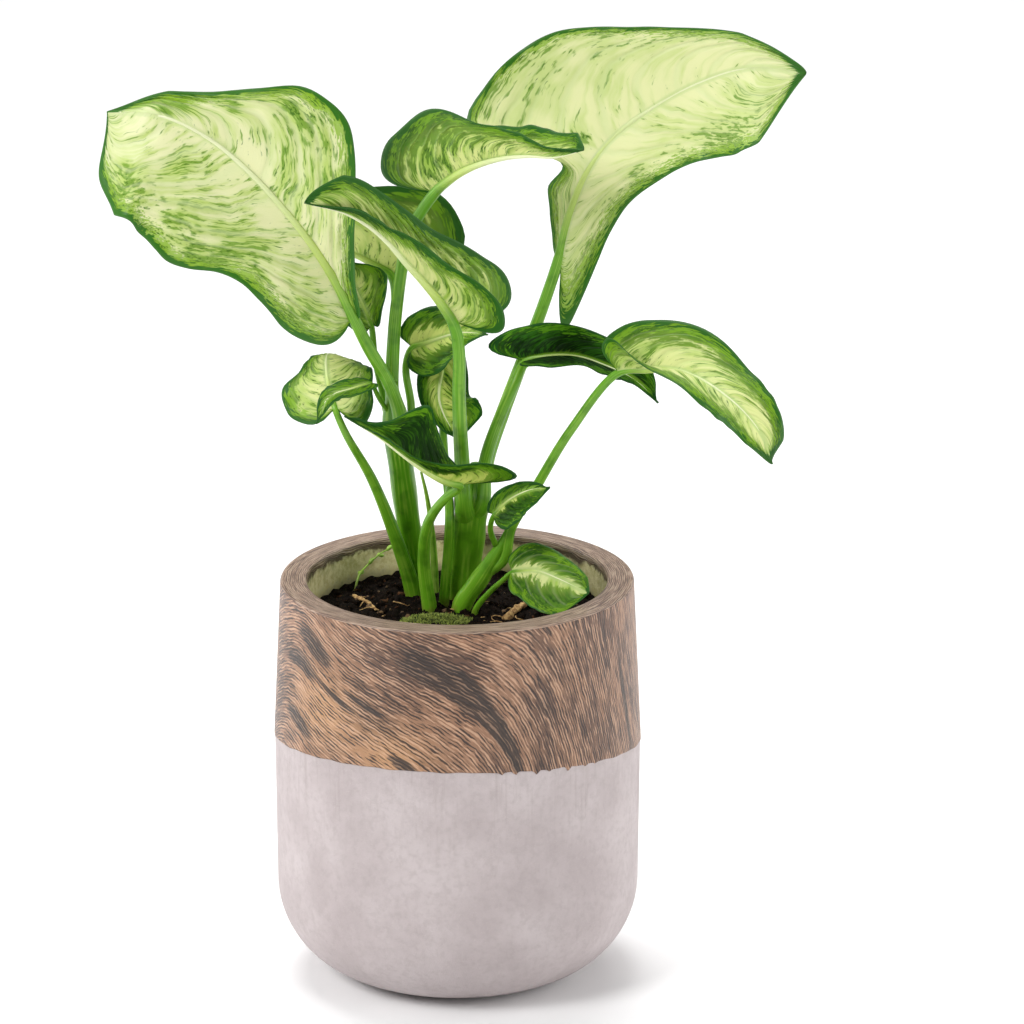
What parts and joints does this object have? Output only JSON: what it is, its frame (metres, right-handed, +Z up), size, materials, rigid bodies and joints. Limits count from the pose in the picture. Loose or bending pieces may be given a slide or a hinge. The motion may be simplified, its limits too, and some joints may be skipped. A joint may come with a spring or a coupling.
{
  "type": "potted dieffenbachia",
  "caption": "Young dieffenbachia with folded, cream and green variegated leaves in a round-footed concrete pot with a wood-grained upper band.",
  "frame": {"origin": "centre of the pot's flat foot, on the floor", "axes": "+Z up, -Y towards the viewer of the picture, +X to the viewer's right"},
  "size_m": [0.269, 0.1444, 0.3774],
  "materials": {
    "concrete": "matt, mottled, bare cast concrete",
    "wood_effect": "satin, deep brown grain",
    "soil": "loose, matt",
    "moss": "soft, matt",
    "dry_root": "dry, matt",
    "stem": "smooth, waxy, slightly glossy",
    "leaf": "smooth, satin, cream centre with green streaks and margin"
  },
  "bodies": {
    "root": {"concrete_pot": "concrete", "wood_sleeve": "wood_effect", "soil": "soil", "moss_patch": "moss", "dry_root": "dry_root", "cane_left": "stem", "cane_main": "stem", "cane_right": "stem", "new_spear": "stem", "leaf_big_left": "leaf", "leaf_big_right": "leaf", "leaf_top_folded": "leaf", "leaf_centre_folded": "leaf", "leaf_back_left": "leaf", "leaf_back_small": "leaf", "leaf_back_centre": "leaf", "leaf_back_hanging": "leaf", "leaf_low_left": "leaf", "leaf_small_left": "leaf", "leaf_low_front": "leaf", "leaf_right_shaded": "leaf", "leaf_small_right": "leaf", "leaf_right_arching": "leaf", "leaf_seedling": "leaf"}
  },
  "joints": []
}
